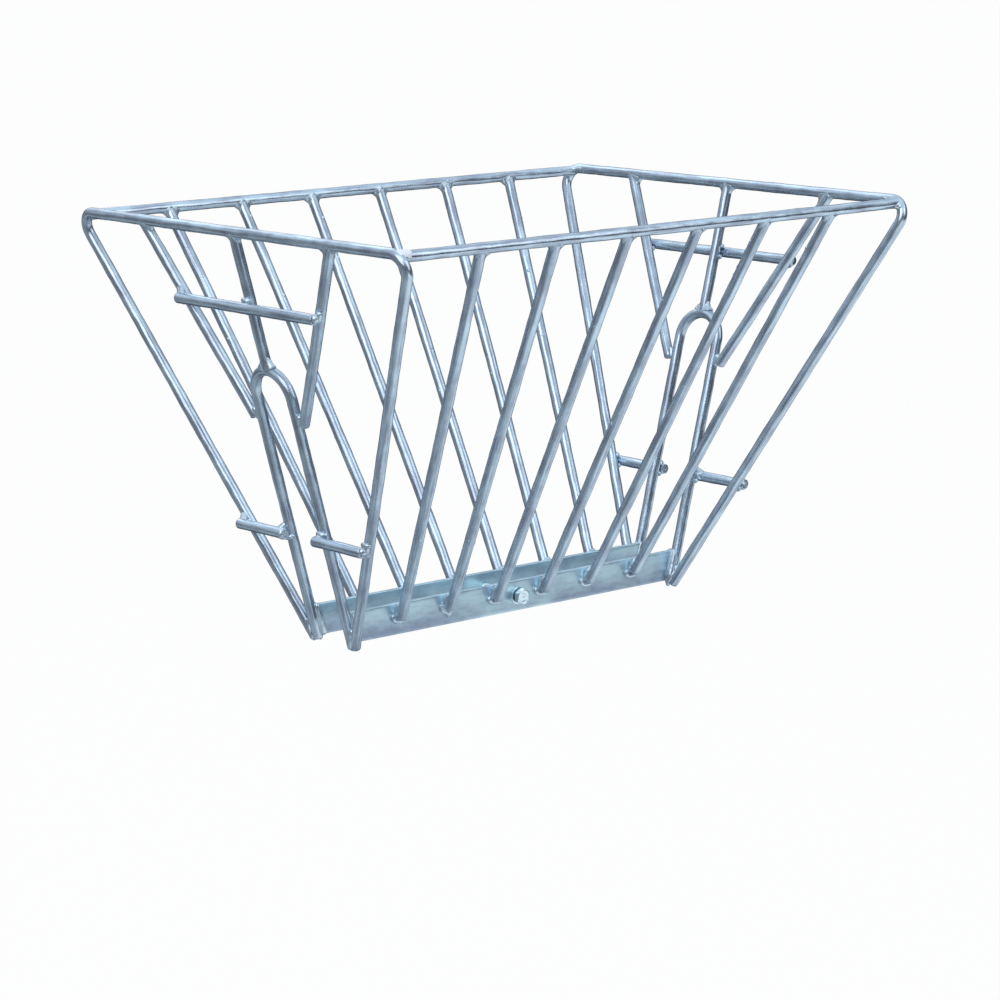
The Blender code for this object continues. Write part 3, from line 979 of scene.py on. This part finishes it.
for end, sign in end_signs:
    beads = lap_beads(sign, 0, cross_bar_up, upright, 390 + sign)
    for across in (-1, 1):
        seed = 400 + 40 * sign + 10 * across
        booted = across * sign < 0
        sides = (-1,) if booted else (-1, 1)
        slant_way = unit([across * slant_slope * math.cos(lean), 1.0])
        cross_y = across * (slant_top_y - slant_slope * (rim_z - cross_bar_z))
        bar_end = sign * cross_bar_ends_y[0 if booted else 1]
        beads += lap_beads(sign, cross_y, cross_bar_up, slant_way, seed, sides=(-1,))
        if booted:
            beads += boot_beads(sign, bar_end, cross_bar_up, across, cross_y, slant_way, seed + 12)
        elif sign < 0:
            beads += end_cap_beads(sign, bar_end, cross_bar_up, across, slant_way, seed + 12)
        beads += strut_beads(sign, across, booted, sides, seed)
        z = np.linspace(slant_foot_z - 0.003, slant_foot_z + 0.011, 15)
        slant_y = across * (slant_foot_y + slant_slope * np.clip(z - slant_foot_z, 0, None))
        beads += seam_beads(sign, slant_y, z, (0.0030, 0.0042), seed + 20)
        z = np.linspace(foot_z - 0.001, foot_z + 0.022, 27)
        corner_line = across * (corner_sill_y + corner_slope * (z - sill_z))
        beads += seam_beads(sign, corner_line, z, (0.0030, 0.0040), seed + 24)
        beads += foot_drips(sign, across, seed)
    add_piece("brace_welds_" + end, mesh_from_grids(beads), weld_zinc)

# Webs of weld in the four corners of the rim. Each fills the inside of the corner between an
# end frame and a rim bar. The largest, at the front left, lies over the rim bar's end, and
# its zinc is pale and dull.
web_zinc = galvanised("web_zinc", (0.93, 1.0, 1.0), 0.42, 0.40, 0.16, metal=0.0, spread=0.03)


def corner_web(sign, end_sign, size, cover):
    """Beads that fill the inside of a corner, each along a parabola from bar to bar.

    The parabolas share their control point in the corner, and their legs shorten bead by
    bead. Where cover isn't zero, a sleeve of that length lies over the rim bar's end.
    """
    inset = 0.0045
    corner = np.array([
        end_sign * (rim_bar_half - inset), -sign * (rim_bar_y - inset), rim_bar_z + 0.0022
    ])
    to_end = end_way(end_sign, 0, sign, 0) + np.array([0, 0, 0.13])
    to_side = np.array([-end_sign, 0, 0.0])
    share = np.linspace(0, 1, 17)[:, None]
    beads = []
    for leg, radius in zip((1.0, 0.8, 0.6, 0.4, 0.2), (0.0030, 0.0036, 0.0040, 0.0044, 0.0048)):
        first = corner + to_end * size * leg
        last = corner + to_side * size * leg
        path = (1 - share) ** 2 * first + 2 * share * (1 - share) * corner + share ** 2 * last
        beads.append(bead_tube(path, radius, (0, 0, 1), 700 + 3 * sign + end_sign, 3, 0.03))
    if cover:
        start = np.array([end_sign * (rim_bar_half + 0.003), -sign * rim_bar_y, rim_bar_z + 0.001])
        path = straight_path(start, start + to_side * cover, 0.001)
        swell = np.linspace(0.0072, 0.0060, len(path))
        beads.append(bead_tube(path, swell, (0, 0, 1), 721, 8, 0.015))
    return beads


for end, end_sign in end_signs:
    for side, sign in side_signs:
        large = sign > 0 and end_sign < 0
        beads = corner_web(sign, end_sign, *((0.030, 0.019) if large else (0.016, 0)))
        zinc = web_zinc if large else weld_zinc
        add_piece("corner_web_" + end + "_" + side, mesh_from_grids(beads), zinc)

# Welds on the sill plates: a bead round the lower end of every side bar, a fillet behind it
# where the bar leaves the plate, and an upright bead on both faces of each plate at the legs.


def foot_point(sign, number, aside, out, rise):
    """A place by a side bar's foot: across the bar, out from the plate and up along the bar."""
    foot, top = side_bar_ends(sign, number)
    slope = (top - foot) / (top[2] - foot[2])
    x = foot[0] + (rise + foot_short) * slope[0] + sign * aside
    y = np.broadcast_to(-sign * (sill_outer_y + out), rise.shape)
    return np.stack([x, y, foot[2] + foot_short + rise], axis=-1)


def foot_beads(sign, number):
    """A square U of bead round a bar's end on the plate, and two fills behind the bar.

    The U is the lower half of a circle squared off, with two straight arms up the flanks. The
    fills stand in the wedge between plate and bar, half way between the two.
    """
    seed = 500 + 8 * number + sign
    chance = np.random.default_rng(seed)
    turn = np.radians(np.linspace(-180, 0, 25))
    round_x, round_z = squared(np.cos(turn), 2 / 3.2), squared(np.sin(turn), 2 / 3.2)
    reach = 0.0074 + chance.uniform(-0.0004, 0.0008)
    left = np.linspace(0.003, 0.0005, 4)
    right = np.linspace(0.0005, 0.013, 12)
    aside = np.r_[np.full(4, -reach), reach * round_x, np.full(12, reach)]
    rise = np.r_[left, 0.0052 * round_z, right]
    out = 0.0012 + np.clip(rise, 0, None) * 0.22
    swell = 0.0031 - np.clip(rise, 0, None) * 0.06
    beads = [bead_tube(foot_point(sign, number, aside, out, rise), swell, (0, 1, 0), seed, 8)]
    rise = np.linspace(-0.002, 0.0155, 14)
    steep = (rim_bar_y - bar_foot_y) / (rim_bar_z - sill_z)
    wedge = np.clip(rise, 0, None) * steep / 2 + 0.0012
    share = (rise - rise[0]) / (rise[-1] - rise[0])
    for aside in (-0.0030, 0.0022):
        path = foot_point(sign, number, aside * (1 - 0.5 * share), wedge * (1 + 0.3 * share), rise)
        beads.append(bead_tube(path, 0.0042 - 0.0022 * share, (1, 0, 0), seed + 2, 4, 0.05))
    return beads


def sagging_bead(sign, number):
    """A heavier V of bead under a bar's end, with a run of zinc below its point."""
    aside = np.array([-0.0105, -0.006, 0.0, 0.006, 0.0105])
    rise = np.array([0.0035, -0.0015, -0.0085, -0.003, 0.0045])
    even = np.linspace(0, 4, 25)
    aside, rise = np.interp(even, range(5), aside), np.interp(even, range(5), rise)
    run = np.linspace(-0.0075, -0.0125, 8)
    return [
        bead_tube(foot_point(sign, number, aside, 0.0014, rise), 0.0030, (0, 1, 0), 560, 5),
        bead_tube(foot_point(sign, number, 0 * run, 0.0006, run), 0.0022, (0, 1, 0), 561, 3),
    ]


def leg_beads(sign, end_sign):
    """Upright beads where a plate meets a leg, one on each face, heavier at two of four legs."""
    z = np.linspace(sill_z - sill_depth / 2 - 0.001, sill_z + sill_depth / 2 + 0.0015, 30)
    leg_x = sill_half + (z - sill_z) * math.tan(lean)
    beads = []
    faces = [(0.0066, sill_outer_y + 0.0004, 0.0030), (0.0034, sill_inner_y + 0.0006, 0.0027)]
    if sign * end_sign > 0:
        faces += [(0.0040, sill_outer_y + 0.0022, 0.0050), (0.0058, sill_inner_y + 0.0004, 0.0040)]
    for inward, across, size in faces:
        path = np.stack([end_sign * (leg_x - inward), 0 * z - sign * across, z], axis=-1)
        swell = size * np.linspace(1.25, 0.9, len(z))
        seed = 600 + 5 * sign + 2 * end_sign + int(inward * 1e4)
        beads.append(bead_tube(path, swell, (0, 1, 0), seed, 8, 0.02))
    return beads


for side, sign in side_signs:
    beads = []
    for number in bar_numbers:
        beads += foot_beads(sign, number)
    beads += sagging_bead(sign, 2)
    for end, end_sign in end_signs:
        beads += leg_beads(sign, end_sign)
    add_piece("sill_welds_" + side, mesh_from_grids(beads), weld_zinc)

# Drops of zinc and spatter that froze on the bars. They are low domes a few millimetres wide,
# scattered on the side bars and thicker near their welded tops.


def drop_grid(middle, outward, along, radius, height):
    """A low dome on a bar: rings whose size falls as a cosine while they rise as a sine."""
    outward, along = unit(outward), unit(along)
    across = np.cross(outward, along)
    tilt = np.linspace(0, math.pi / 2, 6)
    size = np.r_[0.0, 0.9, np.cos(tilt)] * radius
    rise = np.r_[-0.0022, -0.0022, np.sin(tilt) * height - 0.0006]
    size[-1] = 0.0
    angle = full_turn(14)
    flat = 1.5 * np.cos(angle)[:, None] * along + np.sin(angle)[:, None] * across
    return middle + rise[:, None, None] * outward + size[:, None, None] * flat[None]


for side, sign in side_signs:
    chance = np.random.default_rng(820 + sign)
    drops = []
    for number in bar_numbers:
        foot, top = side_bar_ends(sign, number)
        along = unit(top - foot)
        first = unit(np.cross(along, (1, 0, 0)))
        for _ in range(5):
            share = 1 - 0.9 * chance.random() ** 1.6
            turn = chance.uniform(0, 2 * math.pi)
            outward = math.cos(turn) * first + math.sin(turn) * np.cross(along, first)
            size = chance.uniform(0.0009, 0.0019)
            middle = foot + (top - foot) * share + bar_radius * outward
            drops.append(drop_grid(middle, outward, along, size, size * 0.8))
    add_piece("zinc_drops_" + side, mesh_from_grids(drops), weld_zinc)
